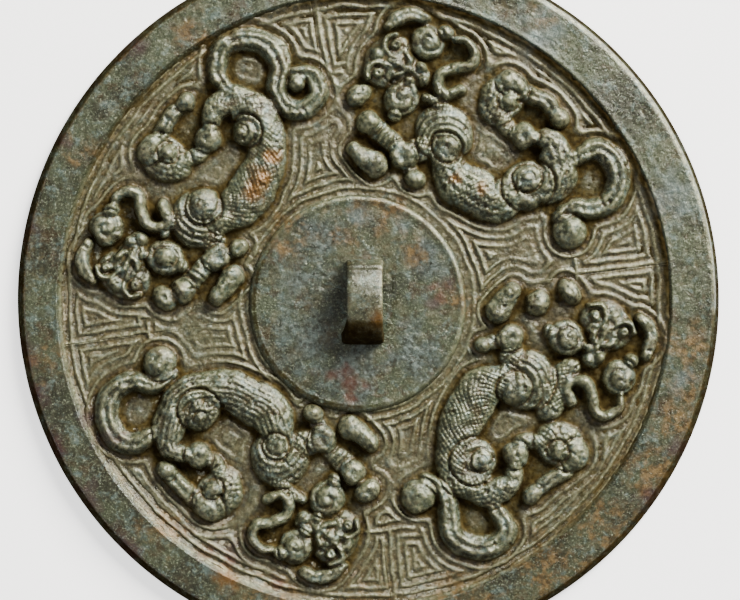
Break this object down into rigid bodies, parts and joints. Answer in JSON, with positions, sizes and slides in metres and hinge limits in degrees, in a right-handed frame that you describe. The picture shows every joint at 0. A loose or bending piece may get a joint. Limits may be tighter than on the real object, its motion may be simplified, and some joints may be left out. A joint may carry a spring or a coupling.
{
  "type": "ancient bronze mirror",
  "caption": "Round cast bronze mirror, polished face down, its back with a plain rim, a strap loop on a round boss, and coiled dragons in relief on key-fret.",
  "frame": {"origin": "centre of the polished face, which the mirror lies on", "axes": "+Z out of the decorated back; +Y along the strap loop, so a cord runs through it along X"},
  "size_m": [0.141, 0.141, 0.0107],
  "materials": {
    "patinated_bronze": "cast, matt grey-green patina with ochre earth in the hollows"
  },
  "bodies": {
    "root": {"mirror": "patinated_bronze"}
  },
  "joints": []
}
